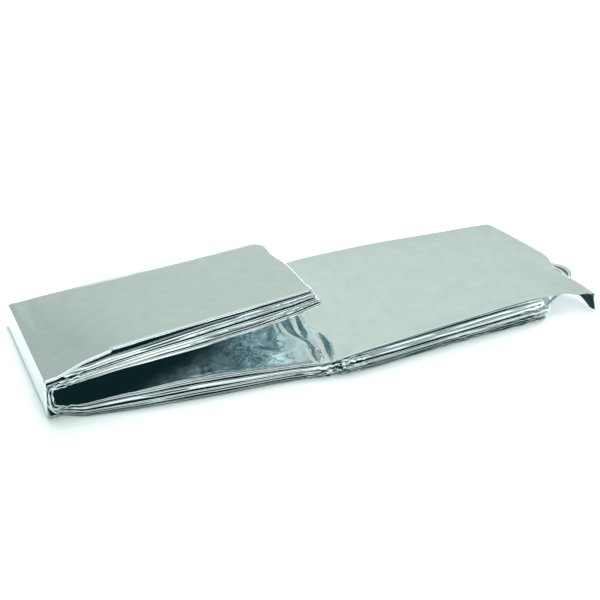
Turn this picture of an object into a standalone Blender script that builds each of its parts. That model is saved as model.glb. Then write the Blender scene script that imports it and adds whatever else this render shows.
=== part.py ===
"""Folded emergency foil blanket, standing open a little at its left fold.

The blanket is one sheet of metallised film. It is folded across its width into a
strip, and the strip is folded back and forth along its length into panels. Six
panels lie lifted at the left, four lie under them, and six lie in the right stack.
The strip is modelled as one sheet: a flat grid is folded by the tables below and
then given its thickness.

Metres, +Z up. The origin is on the floor, under the middle of the footprint.
"""

import math
from collections import namedtuple
from functools import partial

import bmesh
import bpy
from mathutils import Vector

# Driving sizes
PANEL = 0.1310  # length of a panel from fold to fold
SHEET = 0.0010  # thickness of the strip, whose film lies slack in it
ORIGIN_X = 0.1429  # the middle of the footprint, from the front of the left fold
ORIGIN_Y = 0.0220
STEP = 0.0137  # grid step along a panel
TURN_STEPS = 6  # grid steps round a fold
ACROSS = (0.0, 0.05, 0.12, 0.22, 0.34, 0.5, 0.72, 1.0)  # share of the width, from the front edge
FOIL_COLOUR = (0.78, 0.83, 0.82, 1.0)
FOIL_ROUGHNESS = 0.18
AHEAD = 0.0010  # run over which the strip's direction is taken

# Plan of the strip: front and back edge at a distance `run` from the left fold.
PlanRow = namedtuple("PlanRow", "run front_x front_y back_x back_y")
LOWER_PLAN = (
    PlanRow(-0.010, -0.0080, 0.0020, -0.0085, 0.0830),
    PlanRow(0.000, 0.0020, 0.0000, 0.0015, 0.0822),
    PlanRow(0.014, 0.0140, -0.0056, 0.0150, 0.0795),
    PlanRow(0.066, 0.0664, -0.0164, 0.0681, 0.0706),
    PlanRow(0.112, 0.1114, -0.0233, 0.1153, 0.0650),
    PlanRow(0.129, 0.1284, -0.0278, 0.1336, 0.0628),
    PlanRow(0.144, 0.1415, -0.0304, 0.1474, 0.0622),
    PlanRow(0.199, 0.1965, -0.0314, 0.2004, 0.0600),
    PlanRow(0.253, 0.2528, -0.0330, 0.2528, 0.0540),
    PlanRow(0.300, 0.2998, -0.0340, 0.2998, 0.0495),
)
UPPER_PLAN = (
    PlanRow(-0.010, -0.0080, 0.0000, -0.0085, 0.0820),
    PlanRow(0.000, 0.0020, 0.0000, 0.0015, 0.0822),
    PlanRow(0.120, 0.1205, -0.0012, 0.1210, 0.0826),
    PlanRow(0.150, 0.1500, 0.0000, 0.1510, 0.0828),
)

# Heights of the lower layers' middles, from the floor layer up. `pair` are the two
# layers of the short fold that lies only in the right stack.
LowerRow = namedtuple("LowerRow", "run floor second pair_low pair_high third top")
LOWER_FRONT = (
    LowerRow(-0.010, 0.0005, 0.0020, 0.0, 0.0, 0.0036, 0.0052),
    LowerRow(0.000, 0.0005, 0.0021, 0.0, 0.0, 0.0040, 0.0059),
    LowerRow(0.033, 0.0005, 0.0031, 0.0, 0.0, 0.0063, 0.0096),
    LowerRow(0.066, 0.0005, 0.0036, 0.0, 0.0, 0.0073, 0.0110),
    LowerRow(0.112, 0.0005, 0.0030, 0.0, 0.0, 0.0060, 0.0088),
    LowerRow(0.129, 0.0005, 0.0024, 0.0038, 0.0053, 0.0062, 0.0084),
    LowerRow(0.144, 0.0005, 0.0024, 0.0046, 0.0070, 0.0094, 0.0115),
    LowerRow(0.199, 0.0005, 0.0031, 0.0056, 0.0081, 0.0107, 0.0130),
    LowerRow(0.253, 0.0005, 0.0037, 0.0066, 0.0093, 0.0122, 0.0147),
    LowerRow(0.300, 0.0005, 0.0037, 0.0066, 0.0093, 0.0122, 0.0147),
)
LOWER_BACK = (
    LowerRow(-0.010, 0.0005, 0.00195, 0.0, 0.0, 0.0034, 0.00485),
    LowerRow(0.000, 0.0005, 0.00195, 0.0, 0.0, 0.0034, 0.00485),
    LowerRow(0.112, 0.0005, 0.0020, 0.0, 0.0, 0.0035, 0.0050),
    LowerRow(0.129, 0.0005, 0.0021, 0.0038, 0.0054, 0.0047, 0.0063),
    LowerRow(0.144, 0.0005, 0.0022, 0.0040, 0.0059, 0.0080, 0.0098),
    LowerRow(0.199, 0.0005, 0.0021, 0.0038, 0.0055, 0.0073, 0.0090),
    LowerRow(0.253, 0.0005, 0.00195, 0.0034, 0.00485, 0.0063, 0.0078),
    LowerRow(0.300, 0.0005, 0.00195, 0.0034, 0.00485, 0.0063, 0.0078),
)

# Heights of the upper layers' middles, from the one over the mouth up.
UpperRow = namedtuple("UpperRow", "run first second third fourth fifth top")
UPPER_FRONT = (
    UpperRow(-0.0100, 0.0160, 0.0175, 0.0190, 0.0205, 0.0219, 0.0226),
    UpperRow(0.0000, 0.0162, 0.0177, 0.0192, 0.0207, 0.0222, 0.0238),
    UpperRow(0.0137, 0.0174, 0.0189, 0.0204, 0.0219, 0.0239, 0.0288),
    UpperRow(0.0274, 0.0182, 0.0200, 0.0217, 0.0236, 0.0260, 0.0313),
    UpperRow(0.0500, 0.0185, 0.0209, 0.0229, 0.0249, 0.0275, 0.0320),
    UpperRow(0.0750, 0.0189, 0.0217, 0.0240, 0.0265, 0.0295, 0.0327),
    UpperRow(0.1000, 0.0201, 0.0228, 0.0250, 0.0278, 0.0306, 0.0332),
    UpperRow(0.1220, 0.0217, 0.0243, 0.0264, 0.0288, 0.0313, 0.0335),
    UpperRow(0.1380, 0.0237, 0.0258, 0.0276, 0.0295, 0.0316, 0.0336),
    UpperRow(0.1500, 0.0246, 0.0263, 0.0280, 0.0298, 0.0318, 0.0337),
)
UPPER_BACK = (
    UpperRow(-0.010, 0.0063, 0.00775, 0.0092, 0.01065, 0.0121, 0.01355),
    UpperRow(0.150, 0.0063, 0.00775, 0.0092, 0.01065, 0.0121, 0.01355),
)

# Where panels end on the right, as runs at shares of the width, and how far the flap
# has drooped at its end.
EndRow = namedtuple(
    "EndRow", "share lifted_top lifted_mid lifted_low stack_high stack_low floor flap droop"
)
RIGHT_ENDS = (
    EndRow(0.00, 0.1330, 0.1353, 0.1378, 0.2514, 0.2560, 0.2555, 0.2836, 0.0139),
    EndRow(0.05, 0.1335, 0.1354, 0.1376, 0.2515, 0.2558, 0.2570, 0.2856, 0.0128),
    EndRow(0.12, 0.1341, 0.1356, 0.1373, 0.2516, 0.2555, 0.2640, 0.2862, 0.0090),
    EndRow(0.22, 0.1350, 0.1359, 0.1370, 0.2515, 0.2550, 0.2800, 0.2830, 0.0060),
    EndRow(0.34, 0.1361, 0.1363, 0.1367, 0.2512, 0.2542, 0.2925, 0.2775, 0.0021),
    EndRow(0.50, 0.1372, 0.1367, 0.1365, 0.2508, 0.2534, 0.2880, 0.2810, 0.0014),
    EndRow(0.72, 0.1369, 0.1363, 0.1361, 0.2500, 0.2526, 0.2640, 0.2788, 0.0011),
    EndRow(0.91, 0.1387, 0.1359, 0.1355, 0.2495, 0.2520, 0.2600, 0.2756, 0.0009),
    EndRow(1.00, 0.1339, 0.1337, 0.1332, 0.2490, 0.2515, 0.2600, 0.2742, 0.0008),
)
DROOP_RUN = 0.2540  # run past which the flap droops

# Each panel along the strip, from the flap to the free end on the floor. `heading` is
# the way it runs, `reach_*` how far the fold after it stands out beyond its end, and
# `lead_*` how far its front edge, at its left and right, and its back edge stand out
# beyond the plan.
PanelRow = namedtuple(
    "PanelRow",
    "bundle layer heading left right reach_front reach_back lead_left lead_right lead_back",
)
LEFT_WRAP = 0.0  # run where the layers round the left fold leave it
INNER_TURN = 0.0070  # run of the fold that stays inside the lifted bundle
STACK_TURN = 0.1440  # run of the fold that stays inside the right stack
PANELS = (
    PanelRow("lower", "top", "left", LEFT_WRAP, "flap", 0.0032, 0.0010, 0.0002, 0.0, 0.0),
    PanelRow("upper", "first", "right", LEFT_WRAP, "lifted_low", 0.0010, 0.0008, 0.0, 0.0004, -0.0005),
    PanelRow("upper", "second", "left", LEFT_WRAP, "lifted_low", 0.0049, 0.0025, 0.0004, -0.0004, -0.0008),
    PanelRow("lower", "third", "right", LEFT_WRAP, "stack_high", 0.0012, 0.0008, 0.0, -0.0003, -0.0006),
    PanelRow("lower", "pair_high", "left", STACK_TURN, "stack_high", 0.0012, 0.0009, 0.0003, 0.0003, 0.0006),
    PanelRow("lower", "pair_low", "right", STACK_TURN, "stack_low", 0.0014, 0.0008, 0.0, 0.0006, -0.0004),
    PanelRow("lower", "second", "left", LEFT_WRAP, "stack_low", 0.0066, 0.0040, 0.0005, 0.0002, 0.0004),
    PanelRow("upper", "third", "right", LEFT_WRAP, "lifted_mid", 0.0010, 0.0008, -0.0002, 0.0002, -0.0003),
    PanelRow("upper", "fourth", "left", INNER_TURN, "lifted_mid", 0.0009, 0.0008, -0.0006, -0.0004, -0.0009),
    PanelRow("upper", "fifth", "right", INNER_TURN, "lifted_top", 0.0010, 0.0008, -0.0004, -0.0002, -0.0006),
    PanelRow("upper", "top", "left", LEFT_WRAP, "lifted_top", 0.0081, 0.0057, 0.0008, -0.0004, 0.0),
    PanelRow("lower", "floor", "right", LEFT_WRAP, "floor", 0.0, 0.0, 0.0002, 0.0, 0.0005),
)

# How far the flap's front edge stands out beyond the plan.
FlapRow = namedtuple("FlapRow", "run lead")
FLAP_EDGE = (
    FlapRow(0.2500, 0.0),
    FlapRow(0.2620, -0.0012),
    FlapRow(0.2710, 0.0),
    FlapRow(0.2840, 0.0055),
)

# The top panel's front edge steps back at a notch.
NOTCH_RUN = 0.0274
NOTCH_STEP = 0.0012
NOTCH_LENGTH = 0.0015


def smooth_value(rows, column, at):
    """A named column of a table at `at`, the first column, along a smooth curve."""
    keys = [row[0] for row in rows]
    values = [getattr(row, column) for row in rows]
    last = len(rows) - 1
    at = min(max(at, keys[0]), keys[last])
    i = 0
    while i < last - 1 and at > keys[i + 1]:
        i += 1

    def slope(j):
        before, after = max(j - 1, 0), min(j + 1, last)
        return (values[after] - values[before]) / (keys[after] - keys[before])

    gap = keys[i + 1] - keys[i]
    w = (at - keys[i]) / gap
    return (
        values[i] * (1 + 2 * w) * (1 - w) ** 2
        + slope(i) * gap * w * (1 - w) ** 2
        + values[i + 1] * w * w * (3 - 2 * w)
        - slope(i + 1) * gap * w * w * (1 - w)
    )


def linear_value(rows, column, at):
    """A named column of a table at `at`, the first column, along straight lines."""
    for low, high in zip(rows, rows[1:]):
        if at <= high[0]:
            w = max(0.0, (at - low[0]) / (high[0] - low[0]))
            return getattr(low, column) * (1 - w) + getattr(high, column) * w
    return getattr(rows[-1], column)


def plan_point(bundle, run, share):
    """The point in plan at a run and a share of the width."""
    rows = LOWER_PLAN if bundle == "lower" else UPPER_PLAN
    front = Vector((smooth_value(rows, "front_x", run), smooth_value(rows, "front_y", run)))
    back = Vector((smooth_value(rows, "back_x", run), smooth_value(rows, "back_y", run)))
    return front.lerp(back, share)


def height(panel, run, share):
    """The height of a panel's middle."""
    front_rows, back_rows = (
        (LOWER_FRONT, LOWER_BACK) if panel.bundle == "lower" else (UPPER_FRONT, UPPER_BACK)
    )
    front = linear_value(front_rows, panel.layer, run)
    back = linear_value(back_rows, panel.layer, run)
    return front * (1 - share) + back * share


def flap_droop(panel, run, share):
    """How far the flap hangs below its panel."""
    if panel.right != "flap" or run <= DROOP_RUN:
        return 0.0
    reached = (run - DROOP_RUN) / (panel_end(panel, "right", share) - DROOP_RUN)
    return smooth_value(RIGHT_ENDS, "droop", share) * reached**2


def edge_lead(panel, run):
    """How far a panel's front edge stands out beyond the plan, flap and notch counted."""
    w = min(max(run / PANEL, 0.0), 1.0)
    lead = panel.lead_left * (1 - w) + panel.lead_right * w
    if panel.right == "flap":
        lead += linear_value(FLAP_EDGE, "lead", run)
    if panel.right == "lifted_top" and panel.layer == "top":
        w = min(max((run - NOTCH_RUN) / NOTCH_LENGTH, 0.0), 1.0)
        lead += NOTCH_STEP * (1 - w)
    return lead


def panel_end(panel, side, share):
    """The run where a panel ends, on its left or right."""
    if side == "left":
        return panel.left
    return smooth_value(RIGHT_ENDS, panel.right, share)


def panel_point(panel, run, share):
    """A point of a panel's middle surface."""
    width = (plan_point(panel.bundle, run, 1.0) - plan_point(panel.bundle, run, 0.0)).length
    share_out = share + (panel.lead_back * share - edge_lead(panel, run) * (1 - share)) / width
    flat = plan_point(panel.bundle, run, share_out)
    return Vector((flat.x, flat.y, height(panel, run, share_out) - flap_droop(panel, run, share)))


def panel_station(panel, step, share):
    """A point of a panel, `step` being the share of its length that the strip has run."""
    w = step if panel.heading == "right" else 1 - step
    run = panel_end(panel, "left", share) * (1 - w) + panel_end(panel, "right", share) * w
    return panel_point(panel, run, share)


def fold_station(panel, following, step, share):
    """A point of the fold that leads from one panel to the next."""
    start = panel_station(panel, 1.0, share)
    end = panel_station(following, 0.0, share)
    side = panel.heading
    run = panel_end(panel, side, share)
    outward = plan_point(panel.bundle, run + AHEAD, share) - plan_point(panel.bundle, run, share)
    outward.normalize()
    if side == "left":
        outward.negate()
    angle = math.pi * step
    reach = panel.reach_front * (1 - share) + panel.reach_back * share
    point = start.lerp(end, (1 - math.cos(angle)) / 2)
    point.x += outward.x * reach * math.sin(angle)
    point.y += outward.y * reach * math.sin(angle)
    return point


def panel_steps(panel):
    """The number of grid steps along a panel."""
    middle = 0.5
    length = panel_end(panel, "right", middle) - panel_end(panel, "left", middle)
    return max(2, round(length / STEP))


def strip_lines():
    """The lines across the strip, in order along it, each a function of the share of the width."""
    lines = []
    for index, panel in enumerate(PANELS):
        steps = panel_steps(panel)
        for step in range(steps + 1):
            lines.append(partial(panel_station, panel, step / steps))
        if index + 1 < len(PANELS):
            following = PANELS[index + 1]
            for step in range(1, TURN_STEPS):
                lines.append(partial(fold_station, panel, following, step / TURN_STEPS))
    return lines


def folded_strip():
    """A flat grid with a row for each line across the strip, folded line by line."""
    lines = strip_lines()
    last_line, last_share = len(lines) - 1, len(ACROSS) - 1
    strip = bmesh.new()
    bmesh.ops.create_grid(strip, x_segments=last_line, y_segments=last_share, size=0.5)
    for vertex in strip.verts:
        line = round((vertex.co.x + 0.5) * last_line)
        column = round((vertex.co.y + 0.5) * last_share)
        vertex.co = lines[line](ACROSS[column]) - Vector((ORIGIN_X, ORIGIN_Y, 0.0))
    mesh = bpy.data.meshes.new("foil_sheet")
    strip.to_mesh(mesh)
    strip.free()
    mesh.shade_smooth()
    return mesh


def foil_material():
    material = bpy.data.materials.new("silver_foil")
    material.use_nodes = True
    shader = material.node_tree.nodes["Principled BSDF"]
    shader.inputs["Base Color"].default_value = FOIL_COLOUR
    shader.inputs["Metallic"].default_value = 1.0
    shader.inputs["Roughness"].default_value = FOIL_ROUGHNESS
    material.diffuse_color = FOIL_COLOUR
    return material


def build():
    for old in list(bpy.data.objects):
        bpy.data.objects.remove(old, do_unlink=True)
    collection = bpy.data.collections.new("folded_foil_blanket")
    bpy.context.scene.collection.children.link(collection)
    mesh = folded_strip()
    mesh.materials.append(foil_material())
    sheet = bpy.data.objects.new("foil_sheet", mesh)
    collection.objects.link(sheet)
    solid = sheet.modifiers.new("film layers", "SOLIDIFY")
    solid.thickness = SHEET
    solid.offset = 0.0
    solid.use_even_offset = True
    solid.use_rim = True


build()
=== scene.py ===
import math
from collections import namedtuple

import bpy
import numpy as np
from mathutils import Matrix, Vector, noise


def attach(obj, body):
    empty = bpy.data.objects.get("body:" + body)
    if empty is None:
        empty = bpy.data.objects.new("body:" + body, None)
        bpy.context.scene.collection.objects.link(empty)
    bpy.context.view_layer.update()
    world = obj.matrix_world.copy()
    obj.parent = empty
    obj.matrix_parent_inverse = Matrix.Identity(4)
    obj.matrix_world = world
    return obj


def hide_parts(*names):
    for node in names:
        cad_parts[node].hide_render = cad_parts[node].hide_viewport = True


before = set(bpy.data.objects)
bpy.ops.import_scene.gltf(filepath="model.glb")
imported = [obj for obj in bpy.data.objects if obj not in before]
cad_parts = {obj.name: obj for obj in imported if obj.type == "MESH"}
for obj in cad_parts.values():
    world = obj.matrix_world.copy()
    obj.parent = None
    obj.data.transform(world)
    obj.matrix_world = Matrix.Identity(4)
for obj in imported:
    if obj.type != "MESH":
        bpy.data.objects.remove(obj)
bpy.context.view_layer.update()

# %% [markdown]
# # A folded emergency blanket of silver film
#
# The real thing is one sheet of polyester film, thinner than a hair, with a coat of
# vaporised aluminium. The factory folds it across its width into a narrow strip, then
# folds the strip back and forth into panels the size of a pocket. Here the pad has been
# opened a little: the left panels lean up over the rest and leave a dark mouth.
#
# The whole blanket is one continuous strip, so it is made as one mesh. A flat grid is
# folded line by line, the way paper is folded along a ruler, and is then given the
# soft, puffy edge that many plies of film make. The frame's node is a plain form of the
# same folds. The tables below began as the ones that made it; since then the lower
# layers' heights, the inner turns and the flap have moved by up to a few millimetres.
# All of them are in metres.

# %% [markdown]
# ## Camera
#
# A product camera with a longish lens looks down at the blanket from its front left.
# It could be placed by its coordinates, but a point on the floor, a distance and two
# angles are easier to change, so the place is worked out from those.

# %% Camera
LOOK_AT = Vector((0.0027, 0.0158, 0.0))
DISTANCE = 0.6480
ELEVATION = math.radians(35.0)
TURN = math.radians(-25.4417)
LENS = 72.0

away = Vector((math.sin(TURN), -math.cos(TURN), math.tan(ELEVATION))).normalized()
camera_data = bpy.data.cameras.new("studio_camera")
camera_data.lens = LENS
camera_data.clip_start = 0.01
camera = bpy.data.objects.new("studio_camera", camera_data)
camera.location = LOOK_AT + away * DISTANCE
camera.rotation_euler = (math.pi / 2 - ELEVATION, 0.0, TURN)
bpy.context.scene.collection.objects.link(camera)
bpy.context.scene.camera = camera
print("camera at", tuple(round(x, 4) for x in camera.location))

# %% [markdown]
# ## The folds, as tables
#
# A strip folded many times could be drawn point by point, but then no length could be
# changed. Instead each table row says where the strip's front and back edges run, and
# how high each layer lies, at a distance `run` from the left fold. The places between
# rows are read from a curve. `lower` is the bundle that lies on the floor and goes
# through to the right stack; `upper` is the lifted bundle.

# %% Plan of the strip
PANEL = 0.1310
ORIGIN_X, ORIGIN_Y = 0.1429, 0.0220

PlanRow = namedtuple("PlanRow", "run front_x front_y back_x back_y")
PLAN = {
    "lower": (
        PlanRow(-0.010, -0.0080, 0.0020, -0.0085, 0.0830),
        PlanRow(0.000, 0.0020, 0.0000, 0.0015, 0.0822),
        PlanRow(0.014, 0.0140, -0.0056, 0.0150, 0.0795),
        PlanRow(0.066, 0.0664, -0.0164, 0.0681, 0.0706),
        PlanRow(0.112, 0.1114, -0.0233, 0.1153, 0.0650),
        PlanRow(0.129, 0.1284, -0.0278, 0.1336, 0.0628),
        PlanRow(0.144, 0.1415, -0.0304, 0.1474, 0.0622),
        PlanRow(0.199, 0.1965, -0.0314, 0.2004, 0.0600),
        PlanRow(0.253, 0.2528, -0.0330, 0.2528, 0.0540),
        PlanRow(0.300, 0.2998, -0.0340, 0.2998, 0.0495),
    ),
    "upper": (
        PlanRow(-0.010, -0.0080, 0.0000, -0.0085, 0.0820),
        PlanRow(0.000, 0.0020, 0.0000, 0.0015, 0.0822),
        PlanRow(0.120, 0.1205, -0.0012, 0.1210, 0.0826),
        PlanRow(0.150, 0.1500, 0.0000, 0.1510, 0.0828),
    ),
}
print("plan of", ", ".join(PLAN), "with panels of", PANEL, "m")

# %% [markdown]
# ## How high each layer lies
#
# Six layers lie in each bundle. At the front they spring apart, and at the back they are
# pressed flat, so there is one table for either edge and straight film between them. One
# even spacing would be quicker, but a bundle that was carried in a pocket is uneven.
# `pair` are the two layers of the short fold that lies only in the right stack.

# %% Heights of the layers
LowerRow = namedtuple("LowerRow", "run floor second pair_low pair_high third top")
UpperRow = namedtuple("UpperRow", "run first second third fourth fifth top")
FRONT = {
    "lower": (
        LowerRow(-0.010, 0.0005, 0.0018, 0.0, 0.0, 0.0033, 0.0047),
        LowerRow(0.000, 0.0005, 0.0019, 0.0, 0.0, 0.0036, 0.0053),
        LowerRow(0.033, 0.0005, 0.0031, 0.0, 0.0, 0.0063, 0.0096),
        LowerRow(0.066, 0.0005, 0.0036, 0.0, 0.0, 0.0073, 0.0110),
        LowerRow(0.112, 0.0005, 0.0030, 0.0, 0.0, 0.0060, 0.0088),
        LowerRow(0.129, 0.0005, 0.0024, 0.0038, 0.0053, 0.0062, 0.0084),
        LowerRow(0.144, 0.0005, 0.0024, 0.0046, 0.0070, 0.0094, 0.0115),
        LowerRow(0.199, 0.0005, 0.0029, 0.0051, 0.0076, 0.0102, 0.0130),
        LowerRow(0.253, 0.0005, 0.0033, 0.0058, 0.0086, 0.0115, 0.0147),
        LowerRow(0.300, 0.0005, 0.0033, 0.0058, 0.0086, 0.0115, 0.0147),
    ),
    "upper": (
        UpperRow(-0.0100, 0.0160, 0.0175, 0.0190, 0.0205, 0.0219, 0.0226),
        UpperRow(0.0000, 0.0162, 0.0177, 0.0192, 0.0207, 0.0222, 0.0238),
        UpperRow(0.0137, 0.0174, 0.0189, 0.0204, 0.0219, 0.0239, 0.0288),
        UpperRow(0.0274, 0.0182, 0.0200, 0.0217, 0.0236, 0.0260, 0.0313),
        UpperRow(0.0500, 0.0185, 0.0209, 0.0229, 0.0249, 0.0275, 0.0320),
        UpperRow(0.0750, 0.0189, 0.0217, 0.0240, 0.0265, 0.0295, 0.0327),
        UpperRow(0.1000, 0.0201, 0.0228, 0.0250, 0.0278, 0.0306, 0.0332),
        UpperRow(0.1220, 0.0217, 0.0243, 0.0264, 0.0288, 0.0313, 0.0335),
        UpperRow(0.1380, 0.0237, 0.0258, 0.0276, 0.0295, 0.0316, 0.0336),
        UpperRow(0.1500, 0.0246, 0.0263, 0.0280, 0.0298, 0.0318, 0.0337),
    ),
}
BACK = {
    "lower": (
        LowerRow(-0.010, 0.0005, 0.00195, 0.0, 0.0, 0.0034, 0.00485),
        LowerRow(0.000, 0.0005, 0.00195, 0.0, 0.0, 0.0034, 0.00485),
        LowerRow(0.112, 0.0005, 0.0020, 0.0, 0.0, 0.0035, 0.0050),
        LowerRow(0.129, 0.0005, 0.0021, 0.0038, 0.0054, 0.0047, 0.0063),
        LowerRow(0.144, 0.0005, 0.0022, 0.0040, 0.0059, 0.0080, 0.0098),
        LowerRow(0.199, 0.0005, 0.0021, 0.0038, 0.0055, 0.0073, 0.0090),
        LowerRow(0.253, 0.0005, 0.00195, 0.0034, 0.00485, 0.0063, 0.0078),
        LowerRow(0.300, 0.0005, 0.00195, 0.0034, 0.00485, 0.0063, 0.0078),
    ),
    "upper": (
        UpperRow(-0.010, 0.0063, 0.00775, 0.0092, 0.01065, 0.0121, 0.01355),
        UpperRow(0.150, 0.0063, 0.00775, 0.0092, 0.01065, 0.0121, 0.01355),
    ),
}
print("highest front edge", max(row.top for row in FRONT["upper"]), "m")

# %% [markdown]
# ## Where the panels end
#
# No two panels end at the same place: the sheet was folded by machine, but it has slid
# since. Each column of the table is one panel's end, as runs at shares of the width. The
# uppermost panel of the stack is a loose flap, whose end has drooped and whose front
# corner is folded down. The lowest has a tongue that peeps out behind it.

# %% Ends of the panels
EndRow = namedtuple(
    "EndRow", "share lifted_top lifted_mid lifted_low stack_high stack_low floor flap droop"
)
RIGHT_ENDS = (
    EndRow(0.00, 0.1330, 0.1353, 0.1378, 0.2514, 0.2560, 0.2555, 0.2827, 0.0072),
    EndRow(0.05, 0.1335, 0.1354, 0.1376, 0.2515, 0.2558, 0.2570, 0.2842, 0.0073),
    EndRow(0.12, 0.1341, 0.1356, 0.1373, 0.2516, 0.2555, 0.2640, 0.2854, 0.0070),
    EndRow(0.22, 0.1350, 0.1359, 0.1370, 0.2515, 0.2550, 0.2800, 0.2830, 0.0052),
    EndRow(0.34, 0.1361, 0.1363, 0.1367, 0.2512, 0.2542, 0.2925, 0.2775, 0.0021),
    EndRow(0.50, 0.1372, 0.1367, 0.1365, 0.2508, 0.2534, 0.2880, 0.2810, 0.0014),
    EndRow(0.72, 0.1369, 0.1363, 0.1361, 0.2500, 0.2526, 0.2640, 0.2788, 0.0011),
    EndRow(0.91, 0.1387, 0.1359, 0.1355, 0.2495, 0.2520, 0.2600, 0.2756, 0.0009),
    EndRow(1.00, 0.1339, 0.1337, 0.1332, 0.2490, 0.2515, 0.2600, 0.2742, 0.0008),
)
DROOP_RUN = 0.2540
CORNER_X, CORNER_Y, CORNER_RISE = 0.2712, -0.0364, 0.11
CORNER_FOLD = math.radians(55.0)
CORNER_GATHER = 0.0070
TONGUE_IN, TONGUE_STEP, TONGUE_RISE = 0.0028, 0.0009, 0.0013
TONGUE_SHARES = (0.22, 0.30, 0.48, 0.56)
print("the flap ends at", max(row.flap for row in RIGHT_ENDS), "m")

# %% [markdown]
# ## The panels in order
#
# This is the order in which a finger would run along the strip. `heading` is the way a
# panel runs, `reach_*` how far the fold after it stands out beyond its end, and `lead_*`
# how far its edges stand out beyond the plan. Most panels turn at the left wrap, two
# small ones turn inside it, and the short pair turns in the right stack.

# %% Panels in order along the strip
PanelRow = namedtuple(
    "PanelRow",
    "bundle layer heading left right reach_front reach_back lead_left lead_right lead_back",
)
LEFT_WRAP = 0.0
INNER_TURN = 0.0050
STACK_TURN = 0.1405
PANELS = (
    PanelRow("lower", "top", "left", LEFT_WRAP, "flap", 0.0030, 0.0012, 0.0002, 0.0, 0.0),
    PanelRow("upper", "first", "right", LEFT_WRAP, "lifted_low", 0.0010, 0.0008, 0.0, 0.0004, -0.0005),
    PanelRow("upper", "second", "left", LEFT_WRAP, "lifted_low", 0.0044, 0.0020, 0.0004, -0.0004, -0.0008),
    PanelRow("lower", "third", "right", LEFT_WRAP, "stack_high", 0.0012, 0.0008, 0.0, -0.0003, -0.0006),
    PanelRow("lower", "pair_high", "left", STACK_TURN, "stack_high", 0.0012, 0.0009, 0.0003, 0.0003, 0.0006),
    PanelRow("lower", "pair_low", "right", STACK_TURN, "stack_low", 0.0014, 0.0008, 0.0, 0.0006, -0.0004),
    PanelRow("lower", "second", "left", LEFT_WRAP, "stack_low", 0.0057, 0.0031, 0.0006, 0.0002, 0.0004),
    PanelRow("upper", "third", "right", LEFT_WRAP, "lifted_mid", 0.0010, 0.0008, -0.0002, 0.0002, -0.0003),
    PanelRow("upper", "fourth", "left", INNER_TURN, "lifted_mid", 0.0009, 0.0008, -0.0006, -0.0004, -0.0009),
    PanelRow("upper", "fifth", "right", INNER_TURN, "lifted_top", 0.0010, 0.0008, -0.0004, -0.0002, -0.0006),
    PanelRow("upper", "top", "left", LEFT_WRAP, "lifted_top", 0.0, 0.0, 0.0008, -0.0004, 0.0),
    PanelRow("lower", "floor", "right", LEFT_WRAP, "floor", 0.0, 0.0, 0.0002, 0.0, 0.0005),
)
FlapRow = namedtuple("FlapRow", "run lead")
FLAP_EDGE = (
    FlapRow(0.2440, 0.0),
    FlapRow(0.2570, 0.0009),
    FlapRow(0.2665, 0.0011),
    FlapRow(0.2712, 0.0030),
    FlapRow(0.2767, 0.0081),
    FlapRow(0.2796, 0.0099),
    FlapRow(0.2840, 0.0106),
)
NOTCH_RUN, NOTCH_STEP, NOTCH_LENGTH = 0.0274, 0.0012, 0.0008
print(len(PANELS), "panels")

# %% [markdown]
# ## Reading the tables
#
# Plan edges and panel ends are long bends, so they are read along a smooth curve.
# Heights are read along straight lines: film under tension runs straight from one
# crease to the next.

# %% Readers
def column(rows, name):
    """One named column of a table."""
    return np.array([getattr(row, name) for row in rows])


def straight(rows, name, at):
    """A column at `at`, the first column, along straight lines."""
    return np.interp(at, column(rows, rows[0]._fields[0]), column(rows, name))


def smooth(rows, name, at):
    """A column at `at`, the first column, along a smooth curve."""
    keys, values = column(rows, rows[0]._fields[0]), column(rows, name)
    at = np.clip(at, keys[0], keys[-1])
    low = np.clip(np.searchsorted(keys, at) - 1, 0, len(keys) - 2)
    before = np.maximum(np.arange(len(keys)) - 1, 0)
    after = np.minimum(np.arange(len(keys)) + 1, len(keys) - 1)
    slope = (values[after] - values[before]) / (keys[after] - keys[before])
    gap = keys[low + 1] - keys[low]
    w = (at - keys[low]) / gap
    return (
        values[low] * (1 + 2 * w) * (1 - w) ** 2
        + slope[low] * gap * w * (1 - w) ** 2
        + values[low + 1] * w * w * (3 - 2 * w)
        - slope[low + 1] * gap * w * w * (1 - w)
    )


def soft_step(w):
    """From 0 to 1, slow at both ends, for w from 0 to 1."""
    return w * w * (3 - 2 * w)


def read_vectors(items, name):
    """A vector of every item of a mesh, as rows of an array."""
    values = np.empty(len(items) * 3)
    items.foreach_get(name, values)
    return values.reshape(-1, 3)


print("front edge at the pinch", round(float(smooth(PLAN["lower"], "front_y", 0.134)), 4), "m")

# %% [markdown]
# ## A taut edge and a soft face
#
# A crease is straight from one bend to the next, but the face behind it is not: film
# evens out a sharp bend within a few millimetres. A mirror shows every kink as a step of
# tone, so the two top faces take the mean height over a short run behind the edge.

# %% Heights, eased behind the front edge
EASE_RUN = 0.0120
EASE_SHARE = 0.10
EASE_STEPS = (-1.0, -0.75, -0.5, -0.25, 0.0, 0.25, 0.5, 0.75, 1.0)


def layer_height(panel, run, share):
    """The height of a panel's middle surface."""
    def between(at):
        low = straight(FRONT[panel.bundle], panel.layer, at)
        high = straight(BACK[panel.bundle], panel.layer, at)
        return low * (1 - share) + high * share

    taut = between(run)
    if panel.layer != "top":
        return taut
    eased = np.mean([between(run + EASE_RUN * step) for step in EASE_STEPS], axis=0)
    w = np.clip(share / EASE_SHARE, 0.0, 1.0) * np.clip(run / EASE_RUN, 0.0, 1.0)
    return taut * (1 - w) + eased * w


print("faces eased over", EASE_RUN, "m")

# %% [markdown]
# ## The edges of a panel
#
# A panel's own edge stands out a little beyond the plan, or lies a little within it, so
# that the layers show one behind the other. The top panel has a small notch at its front
# edge, and the flap a front edge that swings out.

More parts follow.
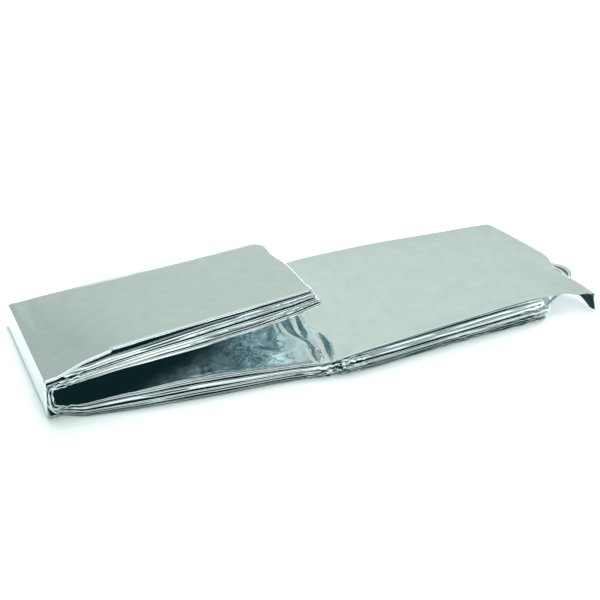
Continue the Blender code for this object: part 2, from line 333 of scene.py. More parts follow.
# %% Edges of a panel
def plan_edges(bundle, run):
    """Front and back edge in plan, as arrays of x and y."""
    rows = PLAN[bundle]
    front = np.stack([smooth(rows, "front_x", run), smooth(rows, "front_y", run)], axis=-1)
    back = np.stack([smooth(rows, "back_x", run), smooth(rows, "back_y", run)], axis=-1)
    return front, back


def panel_end(panel, side, share):
    """The run where a panel ends, on its left or right."""
    if side == "left":
        return np.full_like(share, panel.left)
    return smooth(RIGHT_ENDS, panel.right, share)


def edge_lead(panel, run):
    """How far a panel's front edge stands out beyond the plan, flap and notch counted."""
    w = np.clip(run / PANEL, 0.0, 1.0)
    lead = panel.lead_left * (1 - w) + panel.lead_right * w
    if panel.right == "flap":
        lead = lead + straight(FLAP_EDGE, "lead", run)
    if panel.right == "lifted_top" and panel.layer == "top":
        w = np.clip((run - NOTCH_RUN) / NOTCH_LENGTH, 0.0, 1.0)
        lead = lead + NOTCH_STEP * (1 - w)
    return lead


print("flap", straight(FLAP_EDGE, "lead", FLAP_EDGE[-1].run), "m out at its end")

# %% [markdown]
# ## The flap and the tongue
#
# The flap droops ever faster towards its end. Its front corner is turned down about a
# line in the plan, as a page's corner is. A fold that fell between two columns would be
# a blunt bend, so the points near the line are first gathered on to it. The tip of the
# tongue is kinked up a little.

# %% Flap and tongue
CORNER_SOFT, GATHER_POWER = 0.0020, 2.2


def flap_droop(panel, run, share):
    """How far the flap hangs below its panel."""
    if panel.right != "flap":
        return np.zeros_like(run)
    reached = (run - DROOP_RUN) / (panel_end(panel, "right", share) - DROOP_RUN)
    return smooth(RIGHT_ENDS, "droop", share) * np.clip(reached, 0.0, None) ** 2


def corner_line(x):
    """The line in the plan along which the flap's front corner is folded."""
    return CORNER_Y + CORNER_RISE * (x - CORNER_X)


def gathered(flat):
    """Points of the flap moved closer to the corner's fold, so that it is sharp."""
    line = corner_line(flat[..., 0])
    away = flat[..., 1] - line
    near = np.clip(np.abs(away) / CORNER_GATHER, 0.0, 1.0)
    closer = line + np.sign(away) * CORNER_GATHER * near**GATHER_POWER
    w = np.clip((flat[..., 0] - CORNER_X) / CORNER_SOFT + 1.0, 0.0, 1.0) * (near < 1.0)
    return flat[..., 1] * (1 - w) + closer * w


def turned_corner(points):
    """The flap's front corner, folded down."""
    beyond = np.clip(corner_line(points[..., 0]) - points[..., 1], 0.0, None)
    beyond = beyond * (points[..., 0] > CORNER_X)
    points[..., 1] += beyond * (1 - math.cos(CORNER_FOLD))
    points[..., 2] -= beyond * math.sin(CORNER_FOLD)
    return points


def tongue_rise(panel, run, share):
    """How far the tip of the lowest panel's tongue is kinked up."""
    inside = panel_end(panel, "right", share) - run
    w = np.clip((TONGUE_IN - inside) / TONGUE_STEP, 0.0, 1.0)
    window = np.interp(share, TONGUE_SHARES, (0.0, 1.0, 1.0, 0.0))
    return TONGUE_RISE * w * window


print("corner turned down by", round(math.degrees(CORNER_FOLD)), "degrees")

# %% [markdown]
# ## The points of a panel
#
# A point is placed in three steps: between the two edges in plan, then at its height,
# and then by the flap's corner or the tongue. Every panel goes the same way, and what it
# hasn't got is simply nought.

# %% Points of a panel
def panel_points(panel, run, share):
    """Points of a panel's middle surface."""
    front, back = plan_edges(panel.bundle, run)
    width = np.linalg.norm(back - front, axis=-1)
    share_out = share + (panel.lead_back * share - edge_lead(panel, run) * (1 - share)) / width
    flat = front + (back - front) * share_out[..., None]
    if panel.right == "flap":
        moved = gathered(flat)
        share_out = share_out + (moved - flat[..., 1]) / width
        flat = front + (back - front) * share_out[..., None]
    up = layer_height(panel, run, share_out) - flap_droop(panel, run, share)
    points = np.concatenate([flat, up[..., None]], axis=-1)
    if panel.right == "flap":
        points = turned_corner(points)
    if panel.layer == "floor":
        points[..., 2] += tongue_rise(panel, run, share)
    return points


halfway = panel_points(PANELS[0], np.array([PANEL / 2]), np.array([0.5]))[0]
print("middle of the first panel", tuple(round(float(x), 4) for x in halfway))

# %% [markdown]
# ## Where the film bends softly, and where it creases
#
# Behind its front edge the top layer rises softly from the mouth to the right stack.
# Close to the front it is pinched, and short sharp pleats run out of the pinch. A pleat
# is a spindle: one broad facet that leans, and one narrow facet that comes back. It runs
# from one point of the plan to another, `width` is its broad facet's halfway along,
# `lean` that facet's slope and `bow` how far it bends to the right.

# %% Pleats
PleatRow = namedtuple("PleatRow", "x0 y0 x1 y1 width lean bow")
PLEATS = (
    PleatRow(0.1326, 0.0160, 0.1262, -0.0110, 0.0030, 0.34, 0.0),
    PleatRow(0.1280, -0.0070, 0.1247, -0.0275, 0.0036, 0.34, 0.0004),
    PleatRow(0.1358, -0.0030, 0.1307, -0.0290, 0.0040, 0.34, 0.0016),
    PleatRow(0.1220, 0.0150, 0.1276, -0.0070, 0.0040, 0.30, 0.0004),
    PleatRow(0.1367, 0.0145, 0.1387, 0.0060, 0.0016, 0.34, 0.0),
    PleatRow(0.1204, 0.0160, 0.1203, 0.0050, 0.0016, 0.26, 0.0),
)
PLEAT_RETURN = 0.25


def pleat_depth(x, y):
    """How far the pleats sink the top layer at points of the plan."""
    depth = np.zeros_like(x)
    for row in PLEATS:
        start, end = np.array([row.x0, row.y0]), np.array([row.x1, row.y1])
        length = np.linalg.norm(end - start)
        along = (end - start) / length
        across = np.array([-along[1], along[0]])
        t = np.clip(((x - row.x0) * along[0] + (y - row.y0) * along[1]) / length, 0.0, 1.0)
        side = (x - row.x0) * across[0] + (y - row.y0) * across[1]
        bulge = np.sin(math.pi * t)
        side = side - row.bow * bulge
        width = np.maximum(row.width * bulge**0.8, 1e-9)
        side = side + width / 2
        broad = 1 - side / width
        narrow = 1 + side / (width * PLEAT_RETURN)
        facet = np.clip(np.where(side > 0, broad, narrow), 0.0, 1.0)
        depth = np.maximum(depth, row.lean * width * facet)
    return depth


print(len(PLEATS), "pleats, up to", round(max(row.lean * row.width for row in PLEATS) * 1000, 1), "mm deep")

# %% [markdown]
# ## Cockles
#
# Flat film is never quite flat. Broad, shallow cockles break up what it mirrors, above
# all in the mouth, where film faces film. They are noise, but the noise is fixed, so it
# is the same on every run, and a short table says how strong it is and where.

# %% Cockles
CockleRow = namedtuple("CockleRow", "bundle layer run reach size height")
COCKLES = (
    CockleRow("lower", "top", 0.0900, 0.0420, 0.0150, 0.00045),
    CockleRow("lower", "top", 0.1080, 0.0200, 0.0065, 0.00022),
    CockleRow("lower", "top", 0.1550, 0.0200, 0.0090, 0.00005),
    CockleRow("upper", "first", 0.0800, 0.0700, 0.0200, 0.00050),
    CockleRow("lower", "top", 0.2000, 0.0900, 0.0450, 0.00012),
    CockleRow("upper", "top", 0.0700, 0.0900, 0.0450, 0.00012),
)


COCKLE_SEED = 3.7


def noise_at(points, size, seed):
    """Smooth noise from -1 to 1 at an array of points."""
    flat = (points / size).reshape(-1, 3) + seed
    values = [noise.noise(Vector(point)) for point in flat]
    return np.array(values).reshape(points.shape[:-1])


def cockle_height(panel, run, points):
    """How far broad cockles lift a panel."""
    lift = np.zeros(run.shape)
    for seed, row in enumerate(COCKLES):
        if (row.bundle, row.layer) == (panel.bundle, panel.layer):
            near = soft_step(np.clip(1 - np.abs(run - row.run) / row.reach, 0.0, 1.0))
            flat = points * np.array([1.0, 1.0, 0.0])
            lift += row.height * near * noise_at(flat, row.size, COCKLE_SEED * seed)
    return lift


print(len(COCKLES), "fields of cockles")

# %% [markdown]
# ## Soft troughs and ridges
#
# The two top faces still show where they were once folded: long creases that have been pressed out again.
# Each is given from one point of the plan to another, and fades at its ends. `depth` is below the face, or
# above it where it is negative, and `width` is half of the trough's. Noise could not put them where they
# are.

# %% Soft troughs
TroughRow = namedtuple("TroughRow", "bundle x0 y0 x1 y1 width depth")
TROUGHS = (
    TroughRow("upper", 0.0065, 0.0900, 0.0068, 0.0080, 0.0035, 0.00037),
    TroughRow("upper", 0.0020, 0.0050, 0.0110, 0.0160, 0.0010, -0.00027),
    TroughRow("upper", 0.0300, 0.0560, 0.0900, 0.0330, 0.0060, 0.00017),
    TroughRow("upper", 0.0760, 0.0750, 0.1180, 0.0380, 0.0050, -0.00014),
    TroughRow("lower", 0.1620, -0.0150, 0.1450, -0.0230, 0.0030, 0.00027),
    TroughRow("lower", 0.1500, 0.0020, 0.1560, -0.0200, 0.0024, -0.00020),
    TroughRow("lower", 0.1960, 0.0370, 0.2160, 0.0210, 0.0035, 0.00024),
    TroughRow("lower", 0.2120, 0.0160, 0.2280, -0.0070, 0.0040, 0.00027),
    TroughRow("lower", 0.2350, 0.0110, 0.2760, -0.0010, 0.0045, 0.00034),
    TroughRow("lower", 0.1700, 0.0600, 0.2450, 0.0500, 0.0050, 0.00020),
)


def trough_depth(bundle, x, y):
    """How far the troughs sink a top face."""
    depth = np.zeros_like(x)
    for row in TROUGHS:
        if row.bundle != bundle:
            continue
        span = np.array([row.x1 - row.x0, row.y1 - row.y0])
        length = np.linalg.norm(span)
        t = ((x - row.x0) * span[0] + (y - row.y0) * span[1]) / length**2
        side = ((x - row.x0) * -span[1] + (y - row.y0) * span[0]) / length
        fade = np.sin(math.pi * np.clip(t, 0.0, 1.0)) ** 0.7
        depth += row.depth * fade * np.exp(-((side / row.width) ** 2))
    return depth


print(len(TROUGHS), "troughs and ridges")

# %% [markdown]
# ## Crumples
#
# Where the strip is bent hard, at the left wrap, the pinch and the loose ends, film
# crumples into small flat facets with sharp ridges between them. The absolute value of
# noise has such ridges. A row is a spot in the plan with the layers that are crumpled
# there, `facet` is the size of the facets and `amount` how far they stand in or out.

# %% Crumples
SpotRow = namedtuple("SpotRow", "bundle layers x y reach facet amount")
LIFTED_LAYERS = ("first", "second", "third", "fourth", "fifth")
STACK_LAYERS = ("second", "floor", "pair_low", "pair_high")
SPOT_AXES = (0.6, 1.0, 0.35)
SPOTS = (
    SpotRow("lower", ("top", "third", "second"), 0.0010, -0.0010, 0.0150, 0.0030, 0.00100),
    SpotRow("upper", ("first", "second", "third"), 0.0010, -0.0010, 0.0200, 0.0030, 0.00100),
    SpotRow("upper", ("fourth", "fifth"), 0.0080, -0.0010, 0.0160, 0.0030, 0.00080),
    SpotRow("lower", ("floor",), 0.0010, -0.0010, 0.0110, 0.0030, 0.00045),
    SpotRow("lower", ("top",), 0.1310, -0.0290, 0.0080, 0.0030, 0.00050),
    SpotRow("lower", ("third",), 0.1320, -0.0290, 0.0180, 0.0026, 0.00090),
    SpotRow("lower", STACK_LAYERS, 0.1320, -0.0290, 0.0240, 0.0026, 0.00120),
    SpotRow("lower", ("second", "floor", "pair_low"), 0.2080, -0.0320, 0.0400, 0.0050, 0.00035),
    SpotRow("lower", STACK_LAYERS, 0.2480, -0.0330, 0.0220, 0.0040, 0.00050),
    SpotRow("lower", ("top",), 0.2810, -0.0390, 0.0060, 0.0026, 0.00050),
    SpotRow("upper", LIFTED_LAYERS, 0.1340, 0.0000, 0.0110, 0.0040, 0.00030),
)
WanderRow = namedtuple("WanderRow", "size amount")
WANDER = (WanderRow(0.0300, 0.00030), WanderRow(0.0100, 0.00010))
ROLL = (WanderRow(0.0320, 0.00010), WanderRow(0.0120, 0.00004))
ROLL_REACH = 0.0022
RIDGE_GAIN = 2.6
AXIS_SEED = 5.1


def folded_noise(points, size, seed):
    """Noise with sharp ridges, as film folds."""
    return 1 - RIDGE_GAIN * np.abs(noise_at(points, size, seed))


def crumple(points, bundle, layer, seed):
    """How far a layer's points are moved by crumpling."""
    move = np.zeros_like(points)
    for row in SPOTS:
        if row.bundle != bundle or layer not in row.layers:
            continue
        away = np.hypot(points[..., 0] - row.x, points[..., 1] - row.y)
        near = soft_step(np.clip(1 - away / row.reach, 0.0, 1.0))
        inside = near > 0
        for axis, strength in enumerate(SPOT_AXES):
            facets = folded_noise(points[inside], row.facet, seed + AXIS_SEED * axis)
            move[inside, axis] += row.amount * strength * near[inside] * facets
    return move


print(len(SPOTS), "crumpled spots")

# %% [markdown]
# ## Where to put the lines and columns
#
# An even grid would waste its faces on the flat middles. The lines across the strip
# stand closer where the film is crumpled, and the columns stand closest at the front
# edge, where each layer's soft lip turns over.

# %% Lines and columns
SPACING = 0.0022
FineRow = namedtuple("FineRow", "bundle layers run reach spacing")
FINE = (
    FineRow("lower", ("top",), 0.1300, 0.0260, 0.0008),
    FineRow("lower", ("third", "second", "floor"), 0.1380, 0.0200, 0.0014),
    FineRow("lower", ("pair_low", "pair_high"), 0.1440, 0.0120, 0.0010),
    FineRow("lower", ("top", "third", "second", "floor"), 0.0000, 0.0120, 0.0010),
    FineRow("upper", ("first", "second", "third", "top"), 0.0000, 0.0120, 0.0010),
    FineRow("upper", ("top",), 0.0278, 0.0020, 0.0004),
    FineRow("upper", ("top",), 0.0000, 0.0016, 0.0004),
    FineRow("upper", ("first", "second", "third", "fourth", "fifth", "top"), 0.1340, 0.0100, 0.0013),
    FineRow("lower", ("third", "second", "pair_low", "pair_high", "floor"), 0.2520, 0.0140, 0.0014),
    FineRow("lower", ("top",), 0.2720, 0.0140, 0.0011),
    FineRow("lower", ("floor",), 0.2900, 0.0050, 0.0006),
)
FRONT_COLUMNS = (
    0.0, 0.00004, 0.00014, 0.0003, 0.0005, 0.0008, 0.0012, 0.0018, 0.0028, 0.0044, 0.0064, 0.0088
)
BACK_COLUMNS = (0.0, 0.00006, 0.0002, 0.0005, 0.0011, 0.0022, 0.0045)
MIDDLE_COLUMNS, MIDDLE_POWER = 17, 1.3
STRIP_WIDTH = 0.0860
WRAP_STEPS, HAIRPIN_STEPS = 16, 8
MEASURED_SHARE, MEASURED_RUNS = 0.3, 2000

front_shares = np.array(FRONT_COLUMNS) / STRIP_WIDTH
back_shares = 1.0 - np.array(BACK_COLUMNS)[::-1] / STRIP_WIDTH
between = np.linspace(0, 1, MIDDLE_COLUMNS + 2)[1:-1] ** MIDDLE_POWER
middle = front_shares[-1] + (back_shares[0] - front_shares[-1]) * between
SHARES = np.concatenate([front_shares, middle, back_shares])


def line_places(panel):
    """The places of a panel's lines, as shares of its length from its left end."""
    left = panel.left
    right = float(smooth(RIGHT_ENDS, panel.right, MEASURED_SHARE))
    run = np.linspace(left, right, MEASURED_RUNS)
    spacing = np.full_like(run, SPACING)
    for row in FINE:
        if row.bundle == panel.bundle and panel.layer in row.layers:
            near = np.clip((np.abs(run - row.run) - row.reach) / SPACING, 0.0, 1.0)
            spacing = np.minimum(spacing, row.spacing + (SPACING - row.spacing) * near)
    steps = np.concatenate([[0.0], np.cumsum(np.diff(run) / spacing[1:])])
    count = int(round(steps[-1]))
    places = np.interp(np.linspace(0.0, steps[-1], count + 1), steps, run)
    return (places - left) / (right - left)


print(len(SHARES), "columns;", [len(line_places(panel)) for panel in PANELS], "lines")

# %% [markdown]
# ## The lips
#
# Each layer is really some nineteen plies of film, so its front edge is a puffed roll
# and its middle is thin. Nineteen separate sheets would be far too many faces, so a
# layer is one thickness that swells at its edge. The lip is given as a height below and
# above the middle surface: it fills most of the way to the next layer, and only a dark
# slit is left. Some slits are almost closed, others gape.

# %% Size of the lips
FILM, LOOSE_FILM = 0.0005, 0.0003
LIP_SWING, LIP_LUMP = 0.10, 0.0220
LIP_FILLS = (0.35, 0.97)
WOBBLE_GAIN, WOBBLE_SEED = 1.6, 0.37
LIP_ROUND, LEAST_ROUND = 0.0006, 0.06
LIP_REACH = 0.0088
LIP_POWER = 2.8
TOP_LIP = 0.0007
BACK_LIP, BACK_DROP = 0.0008, 0.0006
# How full the room under each layer is, down to the next one.
FILLS = {
    "lower": {"floor": 1.0, "second": 0.62, "pair_low": 0.97, "pair_high": 0.62, "third": 0.95, "top": 0.62},
    "upper": {"first": 0.80, "second": 0.70, "third": 0.97, "fourth": 0.68, "fifth": 0.97, "top": 0.50},
}


def wobble(run, size, seed):
    """Smooth noise along the strip, from -1 to 1."""
    zero = np.zeros_like(run)
    places = np.stack([run, zero, zero + seed * size], axis=-1)
    return WOBBLE_GAIN * noise_at(places, size, WOBBLE_SEED)


def lip_fill(fill, run, seed):
    """How much of the room up to the next layer a lip takes."""
    return np.clip(fill + LIP_SWING * wobble(run, LIP_LUMP, seed), *LIP_FILLS)


print("the loose film is", LOOSE_FILM, "m thick")

# %% [markdown]
# ## How far a lip reaches
#
# Real lips press on each other, so a lip takes a share of the gap above and below.
# Where a gap is wide, a second table holds the lip back: the bundles are pressed thin at
# the left, and puffed at the pinch and in the right stack. The uppermost lip and the
# loose end of the flap have rows and runs of their own. Crumples are added later, and
# a few lips then cross their neighbour by up to a third of a millimetre.

# %% Reach of the lips
MostRow = namedtuple("MostRow", "run lower upper")
TopLipRow = namedtuple("TopLipRow", "run low")
TOP_LIP_LOW = (
    TopLipRow(0.0000, 0.0006),
    TopLipRow(0.0080, 0.0012),
    TopLipRow(0.0270, 0.0015),
    TopLipRow(0.0290, 0.0012),
    TopLipRow(0.0550, 0.0008),
    TopLipRow(0.0900, 0.0005),
    TopLipRow(0.1500, 0.0004),
)
LIP_MOST = (
    MostRow(0.000, 0.0007, 0.0007),
    MostRow(0.050, 0.0013, 0.0013),
    MostRow(0.090, 0.0014, 0.0013),
    MostRow(0.120, 0.0015, 0.0011),
    MostRow(0.134, 0.0016, 0.0009),
    MostRow(0.146, 0.0017, 0.0009),
    MostRow(0.156, 0.0015, 0.0011),
    MostRow(0.300, 0.0015, 0.0011),
)
LOOSE_RUN, LOOSE_LENGTH = 0.2480, 0.0080
# The short pair's fold stands out of its panels, so its neighbours make room this far.
FOLD_ROOM = 0.0025
TOP_LIP_SHARE = 0.9
UPPER_LIP_SEED = 20
NO_GAP = 1e-6


def lip_heights(panel, run):
    """How far the lip reaches below and above the middle surface."""
    own = straight(FRONT[panel.bundle], panel.layer, run)
    below, above = np.full_like(own, np.inf), np.full_like(own, np.inf)
    fill_above = np.zeros_like(own)
    for name, fill in FILLS[panel.bundle].items():
        gap = straight(FRONT[panel.bundle], name, run) - own
        present = np.abs(gap) > NO_GAP
        if name.startswith("pair"):
            present = present & (run > STACK_TURN - FOLD_ROOM)
        below = np.where(present & (gap < 0), np.minimum(below, -gap), below)
        fill_above = np.where(present & (gap > 0) & (gap < above), fill, fill_above)
        above = np.where(present & (gap > 0), np.minimum(above, gap), above)
    number = PANELS.index(panel)
    most = straight(LIP_MOST, panel.bundle, run)
    fill_below = FILLS[panel.bundle][panel.layer]
    low = np.minimum(lip_fill(fill_below, run, number) * below / 2, most)
    high = np.minimum(lip_fill(fill_above, run, number + UPPER_LIP_SEED) * above / 2, most)
    if panel.layer == "floor":
        low = np.minimum(own, most)
    if panel.layer == "top":
        high = np.full_like(high, TOP_LIP)
    if (panel.bundle, panel.layer) == ("upper", "top"):
        low = np.minimum(TOP_LIP_SHARE * below, straight(TOP_LIP_LOW, "low", run))
    if panel.right == "flap":
        loose = np.clip((run - LOOSE_RUN) / LOOSE_LENGTH, 0.0, 1.0)
        low, high = (x * (1 - loose) + LOOSE_FILM / 2 * loose for x in (low, high))
    return low, high


print("a lip swells by up to", max(row.lower for row in LIP_MOST), "m")

# %% [markdown]
# ## The round of an edge
#
# A lip swells over its last few millimetres and then closes in a tight round. The round
# is a superellipse, which is blunter than a circle: pressed film turns over late.

# %% Round of the edges
def edge_shapes():
    """For each column: how round the edge is there, and how much of either lip it has."""
    front = SHARES * STRIP_WIDTH
    back = (1.0 - SHARES) * STRIP_WIDTH
    near = np.clip(np.minimum(front, back) / LIP_ROUND, 0.0, 1.0)
    round_off = (1 - (1 - near) ** LIP_POWER) ** (1 / LIP_POWER)

    def fade(distance):
        return 1 - soft_step(np.clip((distance - LIP_ROUND) / (LIP_REACH - LIP_ROUND), 0.0, 1.0))

    return np.clip(round_off, LEAST_ROUND, 1.0), fade(front), fade(back)


ROUND_OFF, FRONT_LIP, BACK_LIP_SHARE = edge_shapes()
print(int(np.sum(FRONT_LIP > 0)), "columns are part of the front lip")

# %% [markdown]
# ## Laying out the lines
#
# The strip is a row of blocks, panels and folds in turn. A panel's block has its points,
# with cockles, pleats and troughs on them, and the lip's height at each line. The lip
# lifts the middle surface where it swells more above than below. The topmost crease of
# all isn't weighed down, so it is round, and shows as a thin bright line.

# %% Lines of a panel
Block = namedtuple("Block", "points run share lip_low lip_high panel")
FRONT_DROP, FRONT_REACH, FRONT_POWER = 0.00055, 0.0014, 1.5
WANDER_SEED = 7.3


def panel_block(panel):
    """All the lines of one panel, in the way that it runs."""
    places = line_places(panel)
    if panel.heading == "left":
        places = places[::-1]
    w = places[:, None]
    share = np.broadcast_to(SHARES[None, :], (len(places), len(SHARES)))
    run = panel_end(panel, "left", share) * (1 - w) + panel_end(panel, "right", share) * w
    points = panel_points(panel, run, share)
    points[..., 2] += cockle_height(panel, run, points)
    if (panel.bundle, panel.layer) == ("lower", "top"):
        points[..., 2] -= pleat_depth(points[..., 0], points[..., 1])
    if panel.layer == "top":
        points[..., 2] -= trough_depth(panel.bundle, points[..., 0], points[..., 1])
        points[..., 2] -= BACK_DROP * BACK_LIP_SHARE**2
    if (panel.bundle, panel.layer) == ("upper", "top"):
        edge = np.clip(1 - share * STRIP_WIDTH / FRONT_REACH, 0.0, 1.0)
        points[..., 2] -= FRONT_DROP * edge**FRONT_POWER
    edge = run[:, :1]
    low, high = (lip + np.zeros_like(run) for lip in lip_heights(panel, edge))
    points[..., 2] += (high - low) / 2 * FRONT_LIP
    for row in WANDER:
        stray = wobble(edge, row.size, WANDER_SEED + PANELS.index(panel))
        points[..., 1] += row.amount * stray * FRONT_LIP
    return Block(points, run, share, low, high, panel)


print(panel_block(PANELS[0]).points.shape[0], "lines in the first panel")

# %% [markdown]
# ## The folds
#
# A small fold is a half round. A wrap of the left end has more plies outside it, so its
# turn is squarer. The outermost wrap was pressed flat in its packet: it is an upright
# face with a sharp crease at its top, and its lines are given in a table as distances
# out, at the front and the back, and a share of the way down.

# %% Lines of a fold
WRAP_LIP, WRAP_POWER = 0.00095, 0.62
BoxRow = namedtuple("BoxRow", "out_front out_back down")
BOX = (
    BoxRow(0.0014, 0.0006, 0.008),
    BoxRow(0.0030, 0.0011, 0.016),
    BoxRow(0.0044, 0.0016, 0.023),
    BoxRow(0.0052, 0.0019, 0.028),
    BoxRow(0.0055, 0.0021, 0.036),
    BoxRow(0.0056, 0.0022, 0.055),
    BoxRow(0.0057, 0.0024, 0.120),
    BoxRow(0.0058, 0.0028, 0.280),
    BoxRow(0.0060, 0.0034, 0.460),
    BoxRow(0.0062, 0.0039, 0.640),
    BoxRow(0.0063, 0.0043, 0.780),
    BoxRow(0.0062, 0.0043, 0.880),
    BoxRow(0.0057, 0.0040, 0.945),
    BoxRow(0.0048, 0.0034, 0.980),
    BoxRow(0.0036, 0.0025, 0.995),
    BoxRow(0.0018, 0.0012, 1.000),
)


def fold_block(before, after, panel, steps):
    """The lines of the fold between two panels."""
    start, end = before.points[-1], after.points[0]
    side = 1.0 if panel.heading == "right" else -1.0
    run = before.run[-1]
    ahead = 0.001
    one, two = (plan_edges(panel.bundle, x) for x in (run, run + ahead))
    along = (two[0] - one[0]) * (1 - SHARES)[:, None] + (two[1] - one[1]) * SHARES[:, None]
    outward = side * along / np.linalg.norm(along, axis=-1)[:, None]
    t = np.linspace(0.0, 1.0, steps + 1)[1:-1, None]
    power = WRAP_POWER if steps == WRAP_STEPS else 1.0
    cosine = np.cos(math.pi * t)
    most = panel.reach_front * (1 - SHARES) + panel.reach_back * SHARES
    reach = np.sin(math.pi * t) ** power * most
    down = (1 - np.sign(cosine) * np.abs(cosine) ** power) / 2
    if panel.bundle == "upper" and panel.layer == "top":
        front, back, down = (column(BOX, name)[:, None] for name in BoxRow._fields)
        reach = front * (1 - SHARES) + back * SHARES
        t = np.linspace(0.0, 1.0, len(BOX) + 2)[1:-1, None]
    points = start[None] * (1 - down)[..., None] + end[None] * down[..., None]
    points[..., :2] += outward[None] * reach[..., None]
    run = np.broadcast_to(run, points.shape[:2])
    share = np.broadcast_to(SHARES, points.shape[:2])
    low = before.lip_low[-1] * (1 - t) + after.lip_low[0] * t
    high = before.lip_high[-1] * (1 - t) + after.lip_high[0] * t
    if steps == WRAP_STEPS:
        tight = np.sin(math.pi * t) ** 0.5
        low, high = (lip * (1 - tight) + np.minimum(lip, WRAP_LIP) * tight for lip in (low, high))
    return Block(points, run, share, low, high, panel)


print("the outermost wrap has", len(BOX), "lines")

# %% [markdown]
# ## The whole strip
#
# The last line of a panel and the first line of the next are where the fold between them
# starts and ends, so the blocks follow one another without a seam.

# %% Lines of the strip
def strip_blocks():
    """The blocks of the whole strip in order, panels and folds in turn."""
    panels = [panel_block(panel) for panel in PANELS]
    blocks = [panels[0]]
    for before, after in zip(panels, panels[1:]):
        wrap = before.panel.heading == "left" and before.panel.left == LEFT_WRAP
        steps = WRAP_STEPS if wrap else HAIRPIN_STEPS
        blocks.append(fold_block(before, after, before.panel, steps))
        blocks.append(after)
    return blocks


def each_block(line):
    """Each block with its number and a mask of the points that are its own."""
    start = 0
    for number, block in enumerate(BLOCKS):
        yield number, block, (line >= start) & (line < start + len(block.points))
        start += len(block.points)


BLOCKS = strip_blocks()
POINTS = np.concatenate([block.points for block in BLOCKS])
LIP_LOW = np.concatenate([block.lip_low for block in BLOCKS])
LIP_HIGH = np.concatenate([block.lip_high for block in BLOCKS])
print("strip of", POINTS.shape[0], "lines by", POINTS.shape[1], "columns")

# %% [markdown]
# ## A lip that leans
#
# Pressed from above, a lip rolls: its upper side stands out over its lower side, more in
# one layer than in the next and never by the same amount along it. That turns its facet
# up or down, and with it what the facet mirrors.

# %% Roll of the lips
LEANS = {("upper", "first"): 0.00035, ("lower", "top"): 0.00020, ("lower", "second"): -0.00010}
ROLL_SEED = 31.0


def lip_rolls():
    """How far the upper side of each lip leans out over its lower side."""
    rolls = []
    for number, block in enumerate(BLOCKS):
        edge = block.run[:, :1]
        roll = sum(row.amount * wobble(edge, row.size, ROLL_SEED + number) for row in ROLL)
        roll = roll + LEANS.get((block.panel.bundle, block.panel.layer), 0.0)
        rolls.append(roll * np.clip(1 - SHARES * STRIP_WIDTH / ROLL_REACH, 0.0, 1.0)[None])
    return np.concatenate(rolls)


LIP_ROLL = lip_rolls()
print("lips lean by up to", round(float(np.abs(LIP_ROLL).max()) * 1000, 2), "mm")

# %% [markdown]
# ## Thickness
#
# The thickness goes from the film's, in the middle, to the lip's at the front edge and
# to a smaller one at the back, and closes at both edges.

# %% Thickness
def strip_thickness():
    """The thickness of the strip at every point of the grid."""
    lip = LIP_LOW + LIP_HIGH
    film = np.minimum(FILM, lip)
    thick = film + (lip - film) * FRONT_LIP + (BACK_LIP - film) * BACK_LIP_SHARE
    return thick * ROUND_OFF


THICKNESS = strip_thickness()
print("thickness up to", round(float(THICKNESS.max()) * 1000, 2), "mm")

# %% [markdown]
# ## Light in the mouth
#
# Deep in the mouth light passes a dozen times between the two faces before it comes out.
# That is more than a render follows, so the two faces carry a little of it as a painted glow in their
# emission.
# Each row gives its `level` at the front edge, and how much of the width it reaches over.
# It fades to the left, where the mouth is only a slit. A second mask says where veins, the warped
# reflections of small cockles, are painted into the colour as painted reflections.

# %% Light in the mouth
MOUTH_SIDE = 1
MOUTH_SHARES = (0.010, 0.040)
MOUTH_DEEP = 0.01
LIFTED_RUNS, LIFTED_LEVEL = (0.1120, 0.1180), 4.5
MouthRow = namedtuple("MouthRow", "run reach level")
MOUTH = (
    MouthRow(0.0000, 0.02, 0.0),
    MouthRow(0.0350, 0.05, 0.0),
    MouthRow(0.0500, 0.14, 1.6),
    MouthRow(0.0700, 0.22, 4.4),
    MouthRow(0.0840, 0.36, 2.2),
    MouthRow(0.0940, 0.70, 0.8),
    MouthRow(0.1000, 1.60, 0.4),
    MouthRow(0.1050, 2.00, 5.4),
    MouthRow(0.1105, 2.00, 6.0),
    MouthRow(0.1135, 2.00, 0.8),
    MouthRow(0.1320, 2.00, 0.0),
)
MOUTH_END, MOUTH_FADE = 0.1390, 0.0020
VEIN_RUNS = (0.0800, 0.0960, 0.1120, 0.1200)


def mouth_light():
    """How much of that light each point carries, and how far painted reflections of veins show there."""
    values, veins = [], []
    for block in BLOCKS:
        inside = (block.panel.bundle, block.panel.layer) in (("lower", "top"), ("upper", "first"))
        v = np.clip((block.share - MOUTH_SHARES[0]) / (MOUTH_SHARES[1] - MOUTH_SHARES[0]), 0.0, 1.0)
        deep = np.clip(block.share / straight(MOUTH, "reach", block.run), 0.0, 1.0)
        light = straight(MOUTH, "level", block.run) * (1 - soft_step(deep))
        if block.panel.bundle == "upper":
            light = light + LIFTED_LEVEL * np.interp(block.run, LIFTED_RUNS, (0.0, 1.0))
        last = np.clip((MOUTH_END - block.run) / MOUTH_FADE, 0.0, 1.0)
        values.append(inside * v * (light + MOUTH_DEEP) * last)
        veins.append(inside * v * np.interp(block.run, VEIN_RUNS, (0.0, 1.0, 1.0, 0.0)))
    return np.concatenate(values), np.concatenate(veins)


MOUTH_LIGHT, MOUTH_PAINTED_REFLECTIONS = mouth_light()
print(int(np.sum(MOUTH_LIGHT > 0)), "points carry light")
